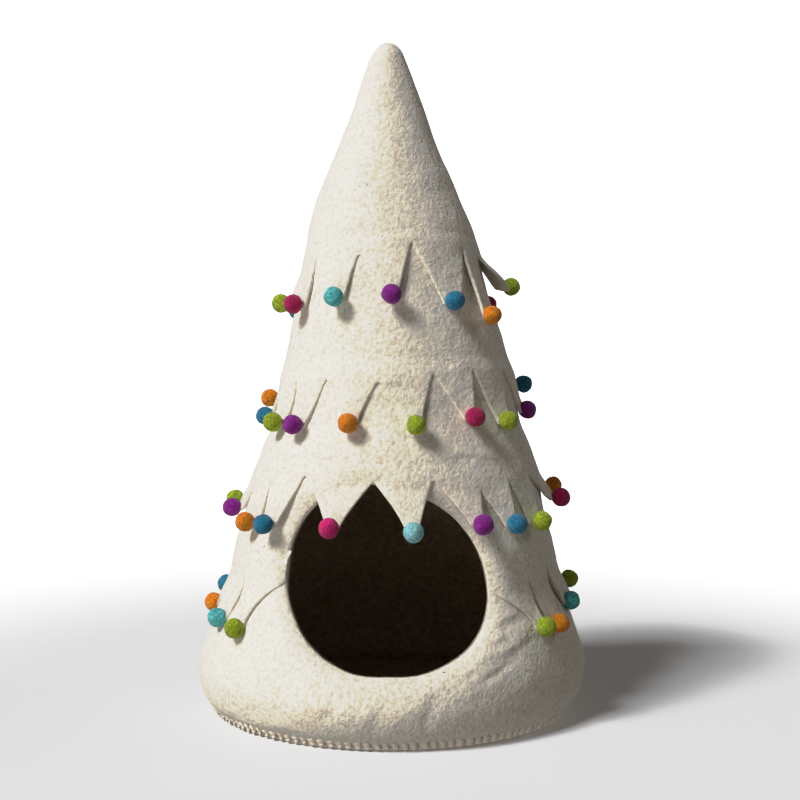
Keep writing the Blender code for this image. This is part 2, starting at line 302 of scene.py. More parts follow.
class Nodes:
    """A short way to add nodes to one material and link them."""

    def __init__(self, name):
        self.material = bpy.data.materials.new(name)
        self.material.use_nodes = True
        self.tree = self.material.node_tree
        self.shader = self.tree.nodes["Principled BSDF"]
        self.place = self.add("ShaderNodeTexCoord").outputs["Object"]

    def add(self, kind, inputs=(), **settings):
        node = self.tree.nodes.new(kind)
        for setting, value in settings.items():
            setattr(node, setting, value)
        for socket, value in dict(inputs).items():
            if isinstance(value, bpy.types.NodeSocket):
                self.tree.links.new(value, node.inputs[socket])
            else:
                node.inputs[socket].default_value = value
        return node

    def noise(self, size, detail=2.0, roughness=0.5, distortion=0.0, place=None):
        """Noise whose features are about this many metres across."""
        inputs = {"Vector": place or self.place, "Scale": 1 / size, "Detail": detail}
        inputs |= {"Roughness": roughness, "Distortion": distortion}
        return self.add("ShaderNodeTexNoise", inputs).outputs["Fac"]

    def ramp(self, value, stops):
        node = self.add("ShaderNodeValToRGB", {"Fac": value})
        for stop, (place, colour) in zip(node.color_ramp.elements, stops):
            stop.position, stop.color = place, colour
        for place, colour in stops[2:]:
            node.color_ramp.elements.new(place).color = colour
        return node.outputs["Color"]

    def mix(self, share, first, second, blend="MIX"):
        node = self.add("ShaderNodeMix", data_type="RGBA", blend_type=blend)
        for socket, value in zip((0, 6, 7), (share, first, second)):
            if isinstance(value, bpy.types.NodeSocket):
                self.tree.links.new(value, node.inputs[socket])
            else:
                node.inputs[socket].default_value = value
        return node.outputs[2]

    def bump(self, height, distance, strength=1.0, under=None):
        inputs = {"Height": height, "Distance": distance, "Strength": strength}
        if under:
            inputs["Normal"] = under
        return self.add("ShaderNodeBump", inputs).outputs["Normal"]

    def finish(self, colour, normal, roughness=0.95, sheen=0.25, sheen_roughness=0.6):
        self.tree.links.new(colour, self.shader.inputs["Base Color"])
        self.tree.links.new(normal, self.shader.inputs["Normal"])
        self.shader.inputs["Roughness"].default_value = roughness
        self.shader.inputs["Specular IOR Level"].default_value = 0.2
        self.shader.inputs["Sheen Weight"].default_value = sheen
        self.shader.inputs["Sheen Roughness"].default_value = sheen_roughness
        return self.material


WHITE = (1, 1, 1, 1)
BLACK = (0, 0, 0, 1)
CREAM = (245, 242, 234)
CREAM_MID = (229, 223, 210)
# The darker cream is partly the wool's own tone and partly painted shade, put in the felt's hollows.
HOLLOW_SHADED_CREAM = (172, 161, 143)
CREAM_WARM = (234, 226, 210)
SPECK = (84, 62, 40)
SPECK_PITCH = 30 * MM
# The inside is the same cream wool as the outside, darkened here as painted shade for the dim inside.
SHADED_INSIDE_WOOL = (176, 160, 140)


def cream_felt():
    felt = Nodes("cream_felt")
    clumps = felt.noise(4.2 * MM, detail=0.5)
    fibres = felt.noise(2.0 * MM, detail=0.5)
    cobbles = felt.noise(15 * MM, detail=1.0)
    drift = felt.noise(45 * MM, detail=3.0)
    # Painted shade: the darker cream falls where the clumps' noise is low, which is where their bump sinks.
    tones = felt.ramp(clumps, [(0.34, tone(HOLLOW_SHADED_CREAM)), (0.60, tone(CREAM)), (0.47, tone(CREAM_MID))])
    tones = felt.mix(0.28, tone(CREAM_MID), tones)
    # Painted shade: the fibres' hollows are darkened with the same noise that bumps them.
    hollow_shading = felt.ramp(fibres, [(0.34, (0.72, 0.69, 0.65, 1)), (0.52, WHITE)])
    tones = felt.mix(0.32, tones, hollow_shading, blend="MULTIPLY")
    warm = felt.ramp(drift, [(0.4, BLACK), (0.75, WHITE)])
    tones = felt.mix(warm, tones, felt.mix(0.35, tones, tone(CREAM_WARM)))
    cells = felt.add("ShaderNodeTexVoronoi", {"Vector": felt.place, "Scale": 1 / SPECK_PITCH})
    specks = felt.ramp(cells.outputs["Distance"], [(0.022, WHITE), (0.034, BLACK)])
    colour = felt.mix(specks, tones, tone(SPECK))
    normal = felt.bump(cobbles, 1.4 * MM)
    normal = felt.bump(clumps, 0.8 * MM, under=normal)
    normal = felt.bump(fibres, 0.6 * MM, under=normal)
    return felt.finish(colour, normal, sheen=0.15)


def ball_felt(name, colour):
    felt = Nodes(name)
    swirl = felt.noise(4.6 * MM, detail=3.0, roughness=0.7, distortion=2.0)
    fibres = felt.noise(1.8 * MM, detail=2.0, distortion=2.0)
    # A darker and a lighter copy of the dye follow the swirl that bumps the ball: partly uneven dye, and
    # partly painted shade in its hollows and painted light on its ridges.
    deep_dye_and_shade, light, middle = (tone(colour, gain) for gain in (0.5, 1.6, 1.0))
    tones = felt.ramp(swirl, [(0.34, deep_dye_and_shade), (0.64, light), (0.48, middle)])
    # Painted shade: the fibres' hollows are darkened with the same noise that bumps them.
    hollow_shading = felt.ramp(fibres, [(0.34, (0.45, 0.45, 0.45, 1)), (0.56, WHITE)])
    tones = felt.mix(0.6, tones, hollow_shading, blend="MULTIPLY")
    normal = felt.bump(swirl, 2.2 * MM)
    normal = felt.bump(fibres, 0.8 * MM, under=normal)
    return felt.finish(tones, normal, sheen=0.2, sheen_roughness=0.4)


def shaded_inside_felt():
    felt = Nodes("shaded_inside_felt")
    swirl = felt.noise(7 * MM, detail=4.0, roughness=0.6, distortion=0.8)
    tones = felt.mix(swirl, tone(SHADED_INSIDE_WOOL, 0.5), tone(SHADED_INSIDE_WOOL, 1.5))
    return felt.finish(tones, felt.bump(swirl, 2.0 * MM), sheen=0.05)


cream = cream_felt()
shaded_inside_wool = shaded_inside_felt()
print("Felt materials:", cream.name, shaded_inside_wool.name)

# %% [markdown]
# ## The entrance's edge
#
# The entrance is a hole that was cut by eye and then worked wet, so it is round but not a circle. Its
# edge is a closed curve through twelve distances from the middle, which is fewer numbers than drawing
# it point by point. The felt round it was rubbed inwards, so the wall turns in before it ends. `LIPS`
# holds that as a broad turn and a narrow one on top of it.

# %% The entrance's edge
ENTRANCE_MIDDLE = Vector((-2.0, 167.0)) * MM  # x, height
ENTRANCE_EDGE = (  # from the middle, every 30 degrees from +X towards +Z
    97.5, 86.5, 83.0, 88.7, 95.5, 101.5, 103.3, 103.0, 95.0, 90.3, 95.5, 106.5,
)
Lip = collections.namedtuple("Lip", "depth width power")  # how deep it turns in, over what width, how late
LIPS = (Lip(6 * MM, 42 * MM, 2.0), Lip(6 * MM, 16 * MM, 2.2))
LIP_ABOVE = 0.3  # the share of that depth above the entrance
SIDE_NARROWS = 0.54  # how far a side moves inwards, seen from the front, for each metre it is set back


def entrance_reach(angle):
    """How far the entrance's edge lies from its middle at this angle in degrees, on a closed curve."""
    count = len(ENTRANCE_EDGE)
    at = (angle % 360) / 360 * count
    first = int(at)
    near = [ENTRANCE_EDGE[(first + step) % count] * MM for step in (-1, 0, 1, 2)]
    part = at - first
    pull = (near[2] - near[0], 2 * near[0] - 5 * near[1] + 4 * near[2] - near[3])
    bend = 3 * near[1] - 3 * near[2] + near[3] - near[0]
    return near[1] + 0.5 * part * (pull[0] + part * (pull[1] + part * bend))


def lip_share(angle):
    """How much of the lip's depth there is at this angle: less above the entrance."""
    return 1 - (1 - LIP_ABOVE) * max(0.0, math.sin(math.radians(angle))) ** 2


def skin_reach(angle):
    """Where the skin ends at this angle. Its edge is set back round the sides, and that narrows it."""
    set_back = sum(turn.depth for turn in LIPS) * lip_share(angle)
    narrowed = SIDE_NARROWS * set_back * abs(math.cos(math.radians(angle)))
    return entrance_reach(angle) + WALL_THICK / 2 + narrowed


def azimuth_of(x, height):
    """The azimuth of the place on the front of the drawn-in cone that lies at this x and height."""
    azimuth = 0.0
    for _ in range(6):  # each pass takes the radius at the azimuth that the last one found
        radius = np.interp(height, outline[:, 0], outline[:, 1]) * (1 + lumps(azimuth, height))
        radius -= drawn_in(np.array(height))
        lean = np.interp(height, outline[:, 0], outline[:, 2])
        azimuth = math.degrees(math.asin(max(-1, min(1, (x - lean) / radius))))
    return azimuth


entrance_width, entrance_height = (entrance_reach(a) + entrance_reach(a + 180) for a in (0, 90))
print("The entrance is", round(entrance_width / MM), "by", round(entrance_height / MM), "mm")

# %% [markdown]
# ## The wall's skins
#
# The wall is one piece of thick felt. A lathe could turn the whole of it, but the round entrance has
# to have an even, rolled edge, and cutting a hole through a turned mesh leaves ragged slivers. So the
# outside is spun, a square window of faces is taken out of its front, and the window's edge is
# extruded again and again towards the entrance. Each new ring lies a little nearer to the round edge,
# so the last one is the edge itself, with even faces all the way.

# %% Spinning a skin with a window that closes on the entrance
WINDOW = (-50.0, 50.0, 52 * MM, 292 * MM)  # azimuths and heights of the faces that are taken out
SAME_POINT = 0.02 * MM  # points nearer than this are one


def flat_place(vert):
    """The azimuth and the height of a point that is still on the plain turned cone."""
    return math.degrees(math.atan2(vert.co.x, -vert.co.y)), vert.co.z


def front_place(azimuth, height):
    """Where that place comes to lie, as seen from the front: x and height."""
    point = cone(np.array([azimuth]), np.array([height]), -drawn_in(np.array([height])))[0]
    return Vector((point[0], point[2]))


def spun_cone(every):
    """The plain turned skin. Past the window only every so-many-th ring of the outline is kept."""
    bm = bmesh.new()
    _, _, low, high = WINDOW
    margin = 5 * MM
    line = [
        row for number, row in enumerate(outline)
        if low - margin < row[0] < high + margin or number % every == 0 or number == RINGS - 1
    ]
    verts = [bm.verts.new((0, -radius, height)) for height, radius, _ in line]
    section = verts + [bm.edges.new(pair) for pair in zip(verts, verts[1:])]
    around = {"axis": (0, 0, 1), "cent": (0, 0, 0), "angle": math.tau}
    bmesh.ops.spin(bm, geom=section, **around, steps=STEPS, use_merge=True)
    bmesh.ops.remove_doubles(bm, verts=bm.verts, dist=SAME_POINT)
    return bm


def cut_window(bm):
    """Takes the window's faces out. It returns the window's edge, and not the one at the foot."""
    west, east, low, high = WINDOW
    inside = []
    for face in bm.faces:
        middle = face.calc_center_median()
        azimuth = math.degrees(math.atan2(middle.x, -middle.y))
        if west < azimuth < east and low < middle.z < high:
            inside.append(face)
    bmesh.ops.delete(bm, geom=inside, context="FACES")
    return [edge for edge in bm.edges if edge.is_boundary and edge.verts[0].co.z > low / 2]


def spun_skin(every, closing_rings):
    """A turned skin with rings of faces that close in on the entrance, and its edge there."""
    bm = spun_cone(every)
    edge = cut_window(bm)
    for ring in range(closing_rings):
        made = bmesh.ops.extrude_edge_only(bm, edges=edge)["geom"]
        edge = [item for item in made if isinstance(item, bmesh.types.BMEdge) and item.is_boundary]
        for vert in {vert for item in edge for vert in item.verts}:
            here = front_place(*flat_place(vert)) - ENTRANCE_MIDDLE
            goal = skin_reach(math.degrees(math.atan2(here.y, here.x)))
            there = here.length + (goal - here.length) / (closing_rings - ring)
            place = ENTRANCE_MIDDLE + here * (there / here.length)
            azimuth = math.radians(azimuth_of(place.x, place.y))
            radius = np.interp(place.y, outline[:, 0], outline[:, 1])
            vert.co = (radius * math.sin(azimuth), -radius * math.cos(azimuth), place.y)
    return bm, edge


print("The window takes in", round(WINDOW[1] - WINDOW[0]), "degrees of the front")

# %% [markdown]
# ## Settling a skin
#
# Every point of a skin is now moved from the plain turned cone to its true place: out of round, drawn
# in behind the flaps, turned in at the entrance and raised or sunk by the relief. A displacement
# modifier could do the relief alone, but here one function works out all of it, so that the collars
# can use it too and lie on the same lumps. The sewn foot swells between its stitches, and the wall
# swells a little where a collar was felted on.

# %% Moving a skin from the plain cone to its true place
FOOT_FADE = 25 * MM  # the height over which the relief grows from nothing at the foot
TIP_FADE = 20 * MM
TIP_RELIEF = 0.2  # the share of it that is left on the tip
STITCHES = 132
FOOT_SCALLOP = 1.3 * MM  # the foot swells between the stitches
SCALLOP_HEIGHT = 9 * MM
SCALLOP_REACH = 5 * MM
COLLAR_TOPS = {"collar_1": 526, "collar_2": 393, "collar_3": 286, "collar_4": 188}
SHOULDER = 0.6 * MM  # the wall swells to meet a collar's upper edge
SHOULDER_DROP = 6  # how far below that edge it swells most
SHOULDER_REACH = (12 * MM, 28 * MM)  # downwards and upwards
LIP_WITHIN = (65, 320 * MM)  # the azimuth to both sides and the height that no lip reaches past


def wall_relief(azimuth, height, points):
    """How far the wall is raised or sunk at these places."""
    relief = grain(points, WALL_GRAIN, seed=1) + creased(azimuth, height)
    from_foot = np.clip((height - outline[0, 0]) / FOOT_FADE, 0, 1)
    from_tip = np.clip((outline[-1, 0] - height) / TIP_FADE, TIP_RELIEF, 1)
    low_down = np.exp(-(((height - SCALLOP_HEIGHT) / SCALLOP_REACH) ** 2))
    scallop = np.cos(np.radians(azimuth) * STITCHES) * low_down
    for top in COLLAR_TOPS.values():
        above = height - (top - SHOULDER_DROP) * MM
        reach = np.where(above > 0, SHOULDER_REACH[1], SHOULDER_REACH[0])
        relief += SHOULDER * np.exp(-((above / reach) ** 2))
    return relief * (from_foot * from_tip) + FOOT_SCALLOP * scallop


def lip(azimuth, height, points):
    """How far the wall turns in here, towards the entrance's edge."""
    turned_in = np.zeros_like(height)
    for index in np.flatnonzero((np.abs(azimuth) < LIP_WITHIN[0]) & (height < LIP_WITHIN[1])):
        here = Vector((points[index, 0], points[index, 2])) - ENTRANCE_MIDDLE
        angle = math.degrees(math.atan2(here.y, here.x))
        away = here.length - skin_reach(angle)
        for depth, width, power in LIPS:
            turned_in[index] += depth * lip_share(angle) * max(0.0, min(1.0, 1 - away / width)) ** power
    return turned_in


def settle_skin(bm, inwards, relief_share=1.0):
    """Moves a skin to its true place, this far inside the wall's outer side."""
    places = np.array([flat_place(vert) for vert in bm.verts])
    azimuth, height = places[:, 0], places[:, 1]
    points = cone(azimuth, height)
    stand = relief_share * wall_relief(azimuth, height, points) - drawn_in(height) - inwards
    stand -= lip(azimuth, height, points)
    radius = np.interp(height, outline[:, 0], outline[:, 1])
    stand = np.maximum(stand, -radius)
    for vert, point in zip(bm.verts, cone(azimuth, height, stand)):
        vert.co = point


print("The wall meets", len(COLLAR_TOPS), "collars and", STITCHES, "stitches")

# %% [markdown]
# ## The wall
#
# The entrance's edge isn't a sharp cut: the felt was rubbed until it was as round as a bead. A bevel
# on so uneven an edge would leave steps, so the edge is extruded over a half round in equal turns of
# the angle. The inside of the cave is a plainer skin made the same way, with fewer faces because it
# is hardly seen, and the two skins are joined at the entrance and at the foot. The inside, the joins
# and the inner half of the rolled edge take a darker wool: it is the same cream felt, darkened as
# painted shade for the dim inside.

# %% The rolled edge and the two skins
ROLL_STEPS = 9
# Painted shade: the darker inside wool starts halfway round the roll, so the entrance's edge darkens.
INNER_FROM = 0.5  # the roll's share from which the inner wool shows
FACING = 0.8  # how far forward the point lies that the roll turns to, as a share of the widest radius


def rolled_edge(bm, edge, thick):
    """Extrudes the entrance's edge over a half round of this thickness. It returns the inner edge."""
    bm.normal_update()
    middle = Vector((ENTRANCE_MIDDLE.x, -outline[:, 1].max() * FACING, ENTRANCE_MIDDLE.y))
    start = {}
    for vert in {vert for item in edge for vert in item.verts}:
        out = vert.normal if vert.normal.y < 0 else -vert.normal
        inward = middle - vert.co
        inward = (inward - out * inward.dot(out)).normalized()
        start[vert] = (vert.co - out * thick / 2, out.copy(), inward)
    for step in range(1, ROLL_STEPS + 1):
        made = bmesh.ops.extrude_edge_only(bm, edges=edge)["geom"]
        faces = [item for item in made if isinstance(item, bmesh.types.BMFace)]
        edge = [item for item in made if isinstance(item, bmesh.types.BMEdge) and item.is_boundary]
        turn = math.pi * step / ROLL_STEPS
        nexts = {}
        for vert in {vert for item in edge for vert in item.verts}:
            before = next(other for link in vert.link_edges if (other := link.other_vert(vert)) in start)
            centre, out, inward = start[before]
            vert.co = centre + thick / 2 * (out * math.cos(turn) + inward * math.sin(turn))
            nexts[vert] = start[before]
        for face in faces:
            face.material_index = int(step / ROLL_STEPS > INNER_FROM)
        start = nexts
    return edge


def open_loop(bm, foot):
    """The open edges at the foot, or else those round the entrance."""
    return [edge for edge in bm.edges if edge.is_boundary and (edge.verts[0].co.z < 10 * MM) == foot]


def round_place(point, foot):
    """The angle of a point round the foot's middle, or else round the entrance's."""
    if foot:
        return math.atan2(point.x, -point.y)
    return math.atan2(point.z - ENTRANCE_MIDDLE.y, point.x - ENTRANCE_MIDDLE.x)


def join(bm, inner, foot):
    """Extrudes an open edge onto the same edge of the inner skin. Both have as many points."""
    made = bmesh.ops.extrude_edge_only(bm, edges=open_loop(bm, foot))["geom"]
    goals = {vert: vert.co for edge in open_loop(inner, foot) for vert in edge.verts}
    goals = sorted(goals.values(), key=lambda point: round_place(point, foot))
    ends = [item for item in made if isinstance(item, bmesh.types.BMVert)]
    for vert, goal in zip(sorted(ends, key=lambda vert: round_place(vert.co, foot)), goals, strict=True):
        vert.co = goal
    # The joins take the darker inside wool, painted shade for the dim inside.
    for item in made:
        if isinstance(item, bmesh.types.BMFace):
            item.material_index = 1


def cave_wall():
    outer, edge = spun_skin(every=1, closing_rings=24)
    settle_skin(outer, inwards=0.0)
    rolled_edge(outer, edge, WALL_THICK)
    inner, _ = spun_skin(every=5, closing_rings=6)
    settle_skin(inner, inwards=WALL_THICK, relief_share=0.0)
    # The inner skin takes the darker inside wool, painted shade for the dim inside.
    for face in inner.faces:
        face.material_index = 1
    for foot in (True, False):
        join(outer, inner, foot)
    spare = bpy.data.meshes.new("inner_skin")
    inner.to_mesh(spare)
    inner.free()
    outer.from_mesh(spare)
    bpy.data.meshes.remove(spare)
    open_points = {vert for edge in outer.edges if edge.is_boundary for vert in edge.verts}
    bmesh.ops.remove_doubles(outer, verts=list(open_points), dist=SAME_POINT)
    bmesh.ops.recalc_face_normals(outer, faces=outer.faces)
    return piece("cave_wall", outer, [cream, shaded_inside_wool], ["felt_wall"])


wall = cave_wall()

# %% [markdown]
# ## The floor of the cave
#
# The floor is a plain felt disc that lies inside the wall's foot. A low cylinder with its rims
# bevelled gives it. The top is inset in rings, so that smooth noise can sink it a little here and
# there, as feet and cushions do.

# %% The disc
FLOOR_SIDES = 160
FLOOR_RINGS = 7
FLOOR_ROUNDING = 1.8 * MM
FLOOR_DENT = Grain(60 * MM, 1.2 * MM)
DENTED_WITHIN = 0.93  # a share of the disc's radius
INNER_WITHIN = 0.95  # the same, for the inner wool


def cave_floor():
    low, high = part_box("base_disc")
    bm = bmesh.new()
    radius = (high.x - low.x) / 2
    made = bmesh.ops.create_cone(
        bm, cap_ends=True, segments=FLOOR_SIDES, radius1=radius, radius2=radius, depth=high.z - low.z
    )
    bmesh.ops.translate(bm, verts=made["verts"], vec=(0, 0, (low.z + high.z) / 2))
    rims = [edge for edge in bm.edges if any(len(face.verts) > 4 for face in edge.link_faces)]
    rounded = {"offset": FLOOR_ROUNDING, "segments": 3, "profile": 0.5}
    bmesh.ops.bevel(bm, geom=rims, **rounded, affect="EDGES", material=-1)
    top = [face for face in bm.faces if len(face.verts) > 4 and face.normal.z > 0]
    for ring in range(FLOOR_RINGS):
        bmesh.ops.inset_region(bm, faces=top, thickness=radius / (FLOOR_RINGS + 1), use_even_offset=False)
    for vert in bm.verts:
        if vert.co.z > high.z - 0.1 * MM and vert.co.xy.length < radius * DENTED_WITHIN:
            vert.co.z -= FLOOR_DENT.height * abs(noise.noise(vert.co / FLOOR_DENT.wavelength))
    # The floor's top inside the wall takes the darker inside wool, painted shade for the dim inside.
    for face in bm.faces:
        middle = face.calc_center_median()
        face.material_index = int(face.normal.z > 0.5 and middle.xy.length < radius * INNER_WITHIN)
    return piece("cave_floor", bm, [cream, shaded_inside_wool], ["base_disc"])


floor_disc = cave_floor()

# %% [markdown]
# ## The sewing at the foot
#
# The floor is sewn to the wall's foot with a whip stitch: wool yarn goes over the edge, again and
# again, and pulls the felt into small swellings between the stitches. Each stitch is a short flat
# tube. A curve with a bevel would do for one, but there are more than a hundred of them and each may
# have only a few dozen faces, so rings of six points are bridged along a short arc. Yarn is laid by
# hand, so no two stitches are quite alike.

# %% The whip stitches
YARN_RADIUS = 3.0 * MM
YARN_SPREAD = (1.8, 0.7)  # how far the soft yarn flattens: along the foot, and off the wall
YARN_SIDES = 6
YARN_SIZES = (0.85, 1.15)  # the thinnest and the fattest stitch, as shares of that radius
YARN_END = 0.55  # how thin a stitch is where it goes into the felt
YARN_LOWEST = 0.15 * MM
STITCH_DRIFT = 0.25  # degrees that a stitch may be out of its place
STITCH_SLANT = 0.5  # degrees round the foot between a stitch's two ends
STITCH_ARC = (  # height, stand off the wall
    (11.2, -2.6), (9.4, -1.4), (7.2, -0.4), (5.0, 0.3), (3.2, 0.6), (1.8, -0.4),
)
LOWEST_RING = 5.4 * MM  # below this the wall has no radius of its own


def yarn_felt():
    felt = Nodes("foot_yarn")
    twist = felt.noise(1.6 * MM, detail=2.0, distortion=1.0)
    # The darker tan falls where the twist's noise is low, in the hollows of its bump: partly the yarn's own
    # tone, partly painted shade in its pits.
    tones = felt.mix(twist, tone((232, 220, 202)), tone((244, 236, 224)))
    return felt.finish(tones, felt.bump(twist, 0.2 * MM))


def stitch_path(azimuth):
    """The points that one stitch's yarn follows, from the wall down over the edge."""
    heights, stands = np.array(STITCH_ARC).T * MM
    turns = azimuth + STITCH_SLANT * np.linspace(-0.5, 0.5, len(STITCH_ARC))
    path = [Vector(point) for point in cone(turns, np.maximum(heights, LOWEST_RING), stands)]
    for point, height in zip(path, heights):
        point.z = height
    return path


def sewn_yarn(bm, path, size):
    """A flat tube along the path, thinner at its two ends and closed there."""
    before = None
    last = len(path) - 1
    for index, point in enumerate(path):
        ahead = (path[min(index + 1, last)] - path[max(index - 1, 0)]).normalized()
        turn = ahead.to_track_quat("Z", "Y").to_matrix().to_4x4()
        place = Matrix.Translation(point) @ turn @ Matrix.Diagonal((*YARN_SPREAD, 1, 1))
        at_end = index in (0, last)
        radius = size * (YARN_END if at_end else 1.0)
        made = bmesh.ops.create_circle(bm, segments=YARN_SIDES, radius=radius, matrix=place)["verts"]
        ring = list(dict.fromkeys(edge for vert in made for edge in vert.link_edges))
        if before:
            bmesh.ops.bridge_loops(bm, edges=before + ring)
        if at_end:
            bmesh.ops.contextual_create(bm, geom=ring)
        before = ring


def foot_stitches():
    bm = bmesh.new()
    random.seed(4)
    for number in range(STITCHES):
        azimuth = (number + 0.5) * 360 / STITCHES + random.uniform(-STITCH_DRIFT, STITCH_DRIFT)
        size = YARN_RADIUS * random.uniform(*YARN_SIZES)
        sewn_yarn(bm, stitch_path(azimuth), size)
    for vert in bm.verts:
        vert.co.z = max(vert.co.z, YARN_LOWEST)
    bmesh.ops.recalc_face_normals(bm, faces=bm.faces)
    return piece("foot_stitches", bm, [yarn_felt()], [])


foot_stitches()

# %% [markdown]
# ## The balls
#
# Each ball is a pinch of dyed wool rolled between the palms, so it is nearly round, with a few flat
# places and a swirl of fibres. The solids say where each one is and which colour it has. A sphere
# built from triangles has no poles, so noise can dent it evenly. The balls of one colour are one
# piece, because they share one dye bath and one material.

# %% Rolled balls, one piece for each colour
BALL_COLOURS = {
    "felt_green": (166, 190, 40), "felt_crimson": (188, 22, 92), "felt_teal": (96, 204, 208),
    "felt_purple": (146, 32, 150), "felt_blue": (40, 130, 172), "felt_orange": (250, 140, 22),
    "felt_aqua": (150, 224, 236), "felt_pink": (226, 30, 122),
}
BALL_GRAIN = (Grain(9 * MM, 0.7 * MM), Grain(3.5 * MM, 0.25 * MM))
BALL_FLUFF = 0.6 * MM  # loose wool outside the firm ball


def ball_places():
    """For each colour slot, the balls' nodes with their middles and radii."""
    places = collections.defaultdict(list)
    for part in frame["record"]["subparts"]:
        if part["node"].startswith("ball"):
            low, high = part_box(part["node"])
            places[part["material_slot"]].append((part["node"], (low + high) / 2, (high.z - low.z) / 2))
    return places


def rolled_balls(slot, balls):
    """All the balls of one colour."""
    bm = bmesh.new()
    for number, (_, middle, radius) in enumerate(balls):
        place = Matrix.Translation(middle)
        made = bmesh.ops.create_icosphere(bm, subdivisions=5, radius=radius + BALL_FLUFF, matrix=place)
        points = [vert.co.copy() for vert in made["verts"]]
        for vert, rise in zip(made["verts"], grain(points, BALL_GRAIN, seed=number + len(slot))):
            out = (vert.co - middle).normalized()
            vert.co += out * rise
    material = ball_felt("ball_" + slot, BALL_COLOURS[slot])
    nodes = [node for node, _, _ in balls]
    return piece("balls_" + slot.removeprefix("felt_"), bm, [material], nodes)


ball_table = ball_places()
for slot, balls in ball_table.items():
    rolled_balls(slot, balls)
print(sum(len(balls) for balls in ball_table.values()), "balls in", len(ball_table), "colours")

# %% [markdown]
# ## The zigzag collars
#
# A collar is a band of thin felt. Its upper edge is felted into the wall, and its lower edge is cut
# into flaps whose points carry the balls. The points come from the balls' places, so a flap always
# ends at its ball, and the table gives only the notches between the flaps. Each side of a notch is
# cut a little hollow or a little full, which is its bow. The entrance breaks the lowest collar, so
# that one has two open ends, and the others run round.

# %% The notches
Notch = collections.namedtuple("Notch", "azimuth height left_bow right_bow", defaults=(-0.3, -0.3))
NOTCHES = {
    "collar_1": (
        Notch(-74, 482), Notch(-54.5, 494), Notch(-20.1, 495, 0.5, 0.5), Notch(13, 509, 0.2, 0.2),
        Notch(50.2, 503), Notch(71, 499), Notch(101, 500), Notch(132, 499), Notch(164, 492),
        Notch(194, 503), Notch(228, 496), Notch(258, 487),
    ),
    "collar_2": (
        Notch(-98, 366), Notch(-73, 361), Notch(-54.3, 361), Notch(-34.3, 364, 0.2, 0.2),
        Notch(-8.2, 362, 0.5, 0.3), Notch(17.1, 370, 0.2, 0.2), Notch(38.1, 374, 0.2, 0.2),
        Notch(61, 373.5), Notch(94, 368), Notch(120, 372), Notch(151, 364), Notch(180, 370),
        Notch(211, 362), Notch(240, 367),
    ),
    "collar_3": (
        Notch(-93, 256), Notch(-71, 253), Notch(-55.5, 258), Notch(-36.7, 266, 0.2, 0.2),
        Notch(-8.8, 260.5, 0.5, 0.5), Notch(13.6, 263, 0.2, 0.2), Notch(32.5, 250, 0.2, 0.2),
        Notch(46.4, 259, 0.2, 0.2), Notch(62.2, 261.5), Notch(97, 257), Notch(121, 263),
        Notch(151, 256), Notch(182, 264), Notch(213, 258), Notch(244, 262),
    ),
    "collar_4": (  # the first and the last are its open ends
        Notch(32.5, 149.5, right_bow=0.8), Notch(51.5, 154), Notch(66.1, 165), Notch(92, 157),
        Notch(118, 160), Notch(148, 155), Notch(178, 161), Notch(208, 154), Notch(238, 160),
        Notch(259, 157), Notch(281, 156), Notch(299.9, 154), Notch(322, 155.5, left_bow=2.4),
    ),
}
OPEN_COLLARS = ("collar_4",)

Tip = collections.namedtuple("Tip", "azimuth height stand")


def flap_notches(name):
    """A collar's notches in metres, from the left of its first flap to the right of its last."""
    notches = [notch._replace(height=notch.height * MM) for notch in NOTCHES[name]]
    if name not in OPEN_COLLARS:
        notches.insert(0, notches[-1]._replace(azimuth=notches[-1].azimuth - 360))
    return notches


def flap_tips(name):
    """For each ball of a collar, in order: the azimuth, the height and how far off the cone it is."""
    tips = []
    for node in sorted(node for node in frame["nodes"] if node.startswith("ball_" + name[-1])):
        low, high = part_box(node)
        middle = (low + high) / 2
        lean = np.interp(middle.z, outline[:, 0], outline[:, 2])
        azimuth = math.degrees(math.atan2(middle.x - lean, -middle.y))
        radius = np.interp(middle.z, outline[:, 0], outline[:, 1]) * (1 + lumps(azimuth, middle.z))
        stand = math.hypot(middle.x - lean, middle.y) - radius
        tips.append(Tip(azimuth, middle.z, stand))
    return tips


for name in NOTCHES:
    print(name, "has", len(flap_tips(name)), "flaps")

# %% [markdown]
# ## One flap
#
# A flap hangs from its band by its root. Its ball pulls it down, so it leaves the wall in a soft
# curve, and its two sides don't stand off alike: it turns a little, most at the cave's sides, and
# some flaps have curled the other way. A cloth simulation would find a curve of its own, and the
# balls' places are known, so the curve is written down here. The lowest collar's two ends are rubbed
# thin onto the wall and kept off the entrance's edge.

# %% Where a flap's points lie
COLUMNS = 14  # of faces across a flap
BAND_ROWS = 5
FLAP_ROWS = 13
TIP_WIDTH = 11 * MM
TIP_BELOW_BALL = 4 * MM  # how far under its ball's middle a flap ends
SUNK = -0.4 * MM  # where a collar's upper edge lies, under the wall's surface
BAND_STAND = 2.3 * MM  # how far its outer side stands off at the notches
BEHIND_BALL = 9.0 * MM  # how far behind its ball's middle a flap ends
CLOSEST = 1.6 * MM  # the least that a flap's outer side stands off
CURL = 1.2
TWIST_GROWTH = 0.7  # below 1, a flap turns most near its root
ROOT_FOLD = 0.5 * MM  # the ridge where a flap bends out of its band
FOLD_REACH = (0.25, 0.1)  # up the band and down the flap, as shares of them
END_BLEND = 0.16  # the share of an end flap's width over which it thins out
END_STAND = 0.1 * MM  # how far it stands off there
ON_THE_ROLL = 1.6 * MM  # how far it may come in over the entrance's rolled edge


def bowed(share, bow):
    """A share from 0 to 1 along a flap's side that runs ahead at first, so the side bows inwards."""
    return 1 - (1 - share) ** (1 + bow)


